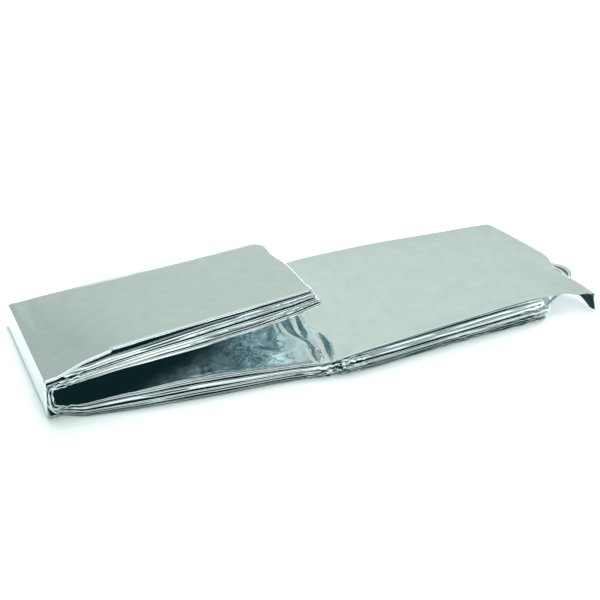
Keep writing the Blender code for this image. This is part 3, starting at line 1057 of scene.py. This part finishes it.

# %% [markdown]
# ## Painted shade in a slit
#
# Between two lips film turns down so steeply that it sees little but the film next to it. A mirror there is
# almost black, whatever the room is like. So the points that lean by that much, and no more, are marked, and
# the material paints shade into its coat at them. The lower bundle carries the upper one, so its slits are
# tighter and more of them is dark. Close above the floor film is marked too and gets the same painted shade:
# it mirrors nothing but its own shadow there.

# %% Where film turns down
LIP_HEIGHTS, FOLD_HEIGHTS = (0.0003, 0.0012), (0.0008, 0.0026)
FLOOR_TILTS = (60.0, 80.0, 140.0, 160.0)
SLIT_TILTS = {"lower": (40.0, 46.0, 70.0, 76.0), "upper": (46.0, 51.0, 63.0, 69.0)}


def painted_shade_mask(mesh, line):
    """Painted shade: 1 where film turns steeply down to its neighbour, and light hardly gets in, or stands
    upright close above the floor.
    """
    upward = read_vectors(mesh.vertex_normals, "vector").reshape(2, -1, 3)[..., 2]
    tilt = np.degrees(np.arccos(np.clip(upward, -1.0, 1.0)))
    height = read_vectors(mesh.vertices, "co").reshape(2, -1, 3)[..., 2]
    upright = np.interp(tilt, FLOOR_TILTS, (0.0, 1.0, 1.0, 0.0))
    mask = np.zeros_like(tilt)
    for number, block, mine in each_block(line):
        is_fold = number % 2 == 1
        low = np.interp(height[:, mine], FOLD_HEIGHTS if is_fold else LIP_HEIGHTS, (1.0, 0.0))
        mask[:, mine] = low * upright[:, mine]
        if not is_fold:
            slit = np.interp(tilt[:, mine], SLIT_TILTS[block.panel.bundle], (0.0, 1.0, 1.0, 0.0))
            mask[:, mine] = np.maximum(mask[:, mine], slit)
    return mask.ravel()


print("slits are dark at tilts of", SLIT_TILTS, "degrees")

# %% [markdown]
# ## The mesh
#
# A grid primitive has a row for every line and a column for every distance across. Its
# points are moved on to the folds, and its UV map is laid out in metres along and across
# the strip, so that a pattern can follow the film round its folds.

# %% Flat grid on to its folds
ORIGIN = np.array([ORIGIN_X, ORIGIN_Y, 0.0])


def folded_grid(name):
    lines, columns = POINTS.shape[:2]
    bpy.ops.object.select_all(action="DESELECT")
    bpy.ops.mesh.primitive_grid_add(
        x_subdivisions=lines - 1, y_subdivisions=columns - 1, size=1.0, calc_uvs=True
    )
    sheet = bpy.context.object
    sheet.name = sheet.data.name = name
    mesh = sheet.data
    flat = read_vectors(mesh.vertices, "co")
    line = np.rint((flat[:, 0] + 0.5) * (lines - 1)).astype(int)
    across = np.rint((flat[:, 1] + 0.5) * (columns - 1)).astype(int)
    folded = POINTS[line, across] - ORIGIN
    mesh.vertices.foreach_set("co", folded.ravel())
    middle_line = POINTS[:, columns // 2]
    steps = np.linalg.norm(np.diff(middle_line, axis=0), axis=1)
    length = np.concatenate([[0.0], np.cumsum(steps)])
    corner = np.empty(len(mesh.loops), dtype=int)
    mesh.loops.foreach_get("vertex_index", corner)
    place = np.stack([length[line[corner]], SHARES[across[corner]] * STRIP_WIDTH], axis=-1)
    mesh.uv_layers[0].data.foreach_set("uv", place.ravel())
    print(name, "is folded from", round(length[-1], 3), "m of strip")
    return sheet, line, across


blanket, line_of, column_of = folded_grid("blanket_sheet")

# %% [markdown]
# ## Its thickness
#
# Solidify makes two shells and a rim between them, and a vertex group gives each point
# its own thickness. Even offset keeps the lips full where the strip turns.

# %% Thicken
def thicken(sheet, line, across):
    group = sheet.vertex_groups.new(name="thickness")
    most = float(THICKNESS.max())
    for index, weight in enumerate(THICKNESS[line, across] / most):
        group.add([index], float(weight), "REPLACE")
    solid = sheet.modifiers.new("plies", "SOLIDIFY")
    solid.thickness = most
    solid.offset = 0.0
    solid.use_even_offset = True
    solid.use_rim = True
    solid.vertex_group = group.name
    bpy.ops.object.modifier_apply(modifier=solid.name)
    print(sheet.name, "now has", len(sheet.data.polygons), "faces")


thicken(blanket, line_of, column_of)

# %% [markdown]
# ## Rolled and crumpled
#
# Both shells are moved by themselves now: the lips lean, and each shell crumples in its
# own place, so that the plies on either side of a slit differ.

# %% Roll and crumple
BLOCK_SEED = 11.3


def roll_and_crumple(sheet, line, across):
    shells = read_vectors(sheet.data.vertices, "co").reshape(2, -1, 3)
    upper_side = (shells[1] - shells[0])[:, 2] > 0
    roll = LIP_ROLL[line, across] * np.where(upper_side, 1.0, -1.0)
    shells[0, :, 1] += roll
    shells[1, :, 1] -= roll
    for number, block, mine in each_block(line):
        spot = shells[:, mine] + ORIGIN
        seed = BLOCK_SEED * number
        shells[:, mine] += crumple(spot, block.panel.bundle, block.panel.layer, seed)
    sheet.data.vertices.foreach_set("co", shells.ravel())
    sheet.data.update()
    print("crumpled", sheet.name)


roll_and_crumple(blanket, line_of, column_of)

# %% [markdown]
# ## Masks for the material
#
# What the material needs to know about the place of a point goes into attributes: how much painted glow it
# carries, whether painted reflections of veins show, and how much painted shade it gets in a slit or close
# above the floor. They stay with the mesh wherever it goes. Only the shell that faces the mouth carries the
# painted glow.

# %% Masks
def paint_masks(sheet, line, across):
    mesh = sheet.data
    for mask_name, mask in (("mouth_light", MOUTH_LIGHT), ("mouth_painted_reflections", MOUTH_PAINTED_REFLECTIONS)):
        attribute = mesh.attributes.new(mask_name, "FLOAT", "POINT")
        values = np.zeros(len(mesh.vertices))
        values[MOUTH_SIDE * len(line) : (MOUTH_SIDE + 1) * len(line)] = mask[line, across]
        attribute.data.foreach_set("value", values)
    # Painted shade, in slits and close above the floor.
    slits = painted_shade_mask(mesh, line)
    attribute = mesh.attributes.new("slits", "FLOAT", "POINT")
    attribute.data.foreach_set("value", slits)
    print(int(np.sum(slits > 0.5)), "points are in slits")


paint_masks(blanket, line_of, column_of)
bpy.ops.object.shade_smooth()

# %% [markdown]
# ## Small helpers for nodes
#
# The film and the room are made of a few kinds of node, again and again. Each helper
# adds one node to a tree, sets it, links what feeds it, and gives back what comes out.

# %% Node helpers
def set_inputs(node, **values):
    """Set inputs of a node by name, with spaces for underscores."""
    for name, value in values.items():
        node.inputs[name.replace("_", " ")].default_value = value


def add_noise(tree, vector, **settings):
    """Noise read at a vector."""
    node = tree.nodes.new("ShaderNodeTexNoise")
    set_inputs(node, **settings)
    tree.links.new(vector, node.inputs["Vector"])
    return node.outputs["Fac"]


def add_range(tree, source, **settings):
    """A value mapped from one range to another."""
    node = tree.nodes.new("ShaderNodeMapRange")
    set_inputs(node, **settings)
    tree.links.new(source, node.inputs["Value"])
    return node.outputs["Result"]


def add_soft_range(tree, source, low, high):
    """From 0 at low to 1 at high, slow at both ends."""
    result = add_range(tree, source, From_Min=low, From_Max=high)
    result.node.interpolation_type = "SMOOTHSTEP"
    return result


def add_math(tree, operation, *values):
    """Arithmetic with numbers and the outputs of other nodes."""
    node = tree.nodes.new("ShaderNodeMath")
    node.operation = operation
    for socket, value in zip(node.inputs, values):
        if isinstance(value, float):
            socket.default_value = value
        else:
            tree.links.new(value, socket)
    return node.outputs["Value"]


def add_mix(tree, factor, first, second, clamp=True):
    """A blend of two colours, each a fixed one or the output of another node."""
    node = tree.nodes.new("ShaderNodeMix")
    node.data_type = "RGBA"
    node.clamp_factor = clamp
    tree.links.new(factor, node.inputs["Factor"])
    for socket, value in (("A", first), ("B", second)):
        if isinstance(value, tuple):
            node.inputs[socket].default_value = value
        else:
            tree.links.new(value, node.inputs[socket])
    return node.outputs["Result"]


def new_group(name, *outputs):
    """An empty node group, with its output node and the coordinates of its points."""
    group = bpy.data.node_groups.new(name, "ShaderNodeTree")
    for output in outputs:
        group.interface.new_socket(output, in_out="OUTPUT", socket_type="NodeSocketFloat")
    out = group.nodes.new("NodeGroupOutput")
    place = group.nodes.new("ShaderNodeTexCoord")
    return group, out, place


print("node helpers are ready")

# %% [markdown]
# ## Silver film
#
# Metallised film is a mirror with a slight grey-green cast. It is never quite even: fine
# tension lines run along the strip, the coat is a little thin in clouds, and it is dulled
# where it has been handled. All are kept small, since the folds do most of the work. The
# clouds read Object coordinates, and the tension lines the UV map, as they follow the
# strip round its folds.

# %% Clouds and tension lines
LINES_SHARE = 0.30


def film_surface():
    """A group that gives the coat's clouds, as a value, and the fine relief."""
    group, out, place = new_group("film_surface", "Clouds", "Relief")
    where = place.outputs["Object"]
    clouds = add_noise(group, where, Scale=140.0, Detail=6.0, Roughness=0.65)
    stretch = group.nodes.new("ShaderNodeMapping")
    stretch.inputs["Scale"].default_value = (18.0, 160.0, 1.0)
    group.links.new(place.outputs["UV"], stretch.inputs["Vector"])
    along = stretch.outputs["Vector"]
    lines = add_noise(group, along, Scale=1.0, Detail=3.0, Distortion=0.4)
    broad = add_noise(group, where, Scale=60.0, Detail=3.0)
    group.links.new(clouds, out.inputs["Clouds"])
    relief = add_math(group, "MULTIPLY_ADD", lines, LINES_SHARE, broad)
    group.links.new(relief, out.inputs["Relief"])
    return group


print("clouds and tension lines are ready as a group")

# %% [markdown]
# ## Veins, painted as reflections
#
# Where film faces film in the mouth, the many reflections of small cockles run together into dark veins and
# pale smoke, which one pass of light cannot show, so they are painted reflections in the colour. A vein is
# where warped noise crosses its middle value, so it is a thin closed line, like a contour.

# %% Veins in the mouth
VEIN_CORE, VEIN_EDGE = 0.006, 0.030


def mouth_painted_reflections():
    """A group that gives painted reflections: soft smoke with thin dark veins in it, about 1 where it is
    light.
    """
    group, out, place = new_group("mouth_painted_reflections", "Smoke", "Vein")
    where = place.outputs["Object"]
    smoke = add_noise(group, where, Scale=80.0, Distortion=2.6)
    veil = add_range(group, smoke, From_Min=0.30, From_Max=0.70, To_Min=0.10, To_Max=1.90)
    group.links.new(veil, out.inputs["Smoke"])
    swirl = add_noise(group, where, Scale=85.0, Detail=1.5, Distortion=1.4)
    apart = add_math(group, "ABSOLUTE", add_math(group, "SUBTRACT", swirl, 0.5))
    vein = add_soft_range(group, apart, VEIN_CORE, VEIN_EDGE)
    group.links.new(vein, out.inputs["Vein"])
    return group


print("smoke and veins are ready as a group")

# %% [markdown]
# ## The film's material
#
# The coat is a fully metallic Principled BSDF with a low roughness. The clouds change its colour and its
# roughness a little, the masks paint shade into its colour in slits and paint reflections of veins and smoke
# into it in the mouth, and the light that is caught in the mouth is a painted glow in its emission, broken
# up by smoke.

# %% Film material
FILM_TONE = (0.838, 0.872, 0.878, 1.0)
THIN_TONE = (0.780, 0.82, 0.832, 1.0)
# Painted shade in the slits and close above the floor.
PAINTED_SLIT_SHADE_TONE = (0.030, 0.070, 0.078, 1.0)
# Painted reflections of veins and smoke in the mouth.
PAINTED_VEIN_TONE = (0.15, 0.21, 0.23, 1.0)
PAINTED_SMOKE_TONE = (0.50, 0.58, 0.60, 1.0)
VEIN_RELIEF = 0.5
# Painted glow in the mouth's emission.
PAINTED_MOUTH_GLOW_TONE = (0.0160, 0.0270, 0.0285, 1.0)
PAINTED_DEEP_GLOW_TONE = (0.0008, 0.0034, 0.0038, 1.0)


def film_material():
    material = bpy.data.materials.new("metallised_film")
    material.use_nodes = True
    tree = material.node_tree
    shader = tree.nodes["Principled BSDF"]
    set_inputs(shader, Metallic=1.0, Emission_Strength=1.0)

    def group_node(group):
        node = tree.nodes.new("ShaderNodeGroup")
        node.node_tree = group
        return node.outputs

    def mask(name):
        node = tree.nodes.new("ShaderNodeAttribute")
        node.attribute_name = name
        return node.outputs["Fac"]

    def mix(factor, first, second):
        return add_mix(tree, factor, first, second, clamp=False)

    surface = group_node(film_surface())
    veins = group_node(mouth_painted_reflections())
    inner = mask("mouth_painted_reflections")

    clouded = add_range(tree, surface["Clouds"], From_Min=0.35, From_Max=0.65)
    coat = mix(clouded, FILM_TONE, THIN_TONE)
    # Painted reflections: veins and smoke stand for reflections between the faces of the mouth.
    pale = add_range(tree, veins["Smoke"], From_Min=0.40, From_Max=1.10)
    veined = mix(veins["Vein"], PAINTED_VEIN_TONE, mix(pale, PAINTED_SMOKE_TONE, coat))
    inside = mix(inner, coat, veined)
    # Painted shade: the slits mask darkens the coat where light hardly gets in.
    tree.links.new(mix(mask("slits"), inside, PAINTED_SLIT_SHADE_TONE), shader.inputs["Base Color"])

    dull = add_range(
        tree, surface["Clouds"], From_Min=0.35, From_Max=0.70, To_Min=0.04, To_Max=0.08
    )
    tree.links.new(dull, shader.inputs["Roughness"])

    bump = tree.nodes.new("ShaderNodeBump")
    set_inputs(bump, Strength=0.15, Distance=0.001)
    carved = add_math(tree, "MULTIPLY", inner, veins["Vein"])
    relief = add_math(tree, "MULTIPLY_ADD", carved, VEIN_RELIEF, surface["Relief"])
    tree.links.new(relief, bump.inputs["Height"])
    tree.links.new(bump.outputs["Normal"], shader.inputs["Normal"])

    # Painted glow: the light caught in the mouth is emission.
    smoky = add_math(tree, "MULTIPLY", mask("mouth_light"), veins["Smoke"])
    tree.links.new(mix(smoky, PAINTED_DEEP_GLOW_TONE, PAINTED_MOUTH_GLOW_TONE), shader.inputs["Emission Color"])
    print("made", material.name)
    return material


blanket.data.materials.clear()
blanket.data.materials.append(film_material())

# %% [markdown]
# ## Studio
#
# Silver has no colour of its own: it shows the room. So the room is the paint, and it
# starts with a wide, plain floor of matt white paper.

# %% Floor
FLOOR_SIZE = 24.0
PAPER_TONE = (0.855, 0.91, 0.91, 1.0)

bpy.ops.object.select_all(action="DESELECT")
bpy.ops.mesh.primitive_plane_add(size=FLOOR_SIZE)
floor = bpy.context.object
floor.name = floor.data.name = "studio_floor"
paper = bpy.data.materials.new("white_paper")
paper.use_nodes = True
set_inputs(
    paper.node_tree.nodes["Principled BSDF"],
    Base_Color=PAPER_TONE,
    Roughness=0.9,
    Specular_IOR_Level=0.0,
)
floor.data.materials.append(paper)
print("floor", FLOOR_SIZE, "m wide")

# %% [markdown]
# ## Lights
#
# A wide soft box overhead gives the soft shadow close to the blanket, and a small one in
# front only opens it. A low one at the right lights the floor under the loose flap. The
# film would show them as hard white squares, so it doesn't see them: the ceiling panel
# of the room is there for that.

# %% Lights
LampRow = namedtuple("LampRow", "name side place power")
LAMPS = (
    LampRow("overhead_soft_box", 1.3, (0.0, 0.60, 2.0), 27.0),
    LampRow("front_soft_box", 0.6, (0.35, -1.2, 0.75), 3.0),
    LampRow("low_soft_box", 0.15, (0.75, 0.40, 0.13), 15.0),
)


def soft_box(row):
    """A square soft box that points at the blanket and isn't mirrored in it."""
    data = bpy.data.lights.new(row.name, "AREA")
    data.shape = "RECTANGLE"
    data.size = data.size_y = row.side
    data.energy = row.power
    lamp = bpy.data.objects.new(row.name, data)
    lamp.location = row.place
    lamp.rotation_euler = (-Vector(row.place)).to_track_quat("-Z", "Y").to_euler()
    lamp.visible_glossy = False
    bpy.context.scene.collection.objects.link(lamp)


for row in LAMPS:
    soft_box(row)
print("soft boxes of", [row.power for row in LAMPS], "W")

# %% [markdown]
# ## The room
#
# The room is a few plain tones by direction: a pale wall behind, a darker one on the
# left, a grey end where the camera stands and a white ceiling panel in front of it. The
# faces that look back mirror the pale wall, the lips' brows mirror the panel, and the
# faces seen from behind go grey, as silver does.

# %% World
BACK_TONE = (0.578, 0.675, 0.620, 1.0)
TOP_TONE = (0.675, 0.780, 0.725, 1.0)
CEILING_TONE = (0.85, 0.93, 0.90, 1.0)
PANEL_TONE = (1.80, 1.90, 1.88, 1.0)
LEFT_TONE = (0.462, 0.540, 0.505, 1.0)
GREY_LOW = (0.420, 0.490, 0.465, 1.0)
GREY_HIGH = (0.220, 0.270, 0.260, 1.0)
GREY_TURN = math.radians(32.0)


def studio_world():
    world = bpy.data.worlds.new("studio_room")
    bpy.context.scene.world = world
    world.use_nodes = True
    tree = world.node_tree
    direction = tree.nodes.new("ShaderNodeTexCoord").outputs["Generated"]
    split = tree.nodes.new("ShaderNodeSeparateXYZ")
    tree.links.new(direction, split.inputs["Vector"])
    height = split.outputs["Z"]

    def along(angle):
        node = tree.nodes.new("ShaderNodeVectorMath")
        node.operation = "DOT_PRODUCT"
        node.inputs[1].default_value = (math.sin(angle), -math.cos(angle), 0.0)
        tree.links.new(direction, node.inputs[0])
        return node.outputs["Value"]

    def blend(source, low, high, first, second):
        return add_mix(tree, add_soft_range(tree, source, low, high), first, second)

    back = blend(height, 0.10, 0.60, BACK_TONE, TOP_TONE)
    walls = blend(along(TURN - math.pi / 2), 0.12, 0.42, back, LEFT_TONE)
    grey = blend(height, 0.15, 0.60, GREY_LOW, GREY_HIGH)
    sides = blend(along(TURN + GREY_TURN), 0.15, 0.55, walls, grey)
    above = blend(along(TURN), -0.20, 0.10, CEILING_TONE, PANEL_TONE)
    room = blend(height, 0.80, 0.89, sides, above)
    tree.links.new(room, tree.nodes["Background"].inputs["Color"])


studio_world()
bpy.context.scene.view_settings.view_transform = "Standard"
print("room is set")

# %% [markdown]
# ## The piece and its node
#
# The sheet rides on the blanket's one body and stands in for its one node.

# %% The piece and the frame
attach(blanket, "root")
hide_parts("foil_sheet")
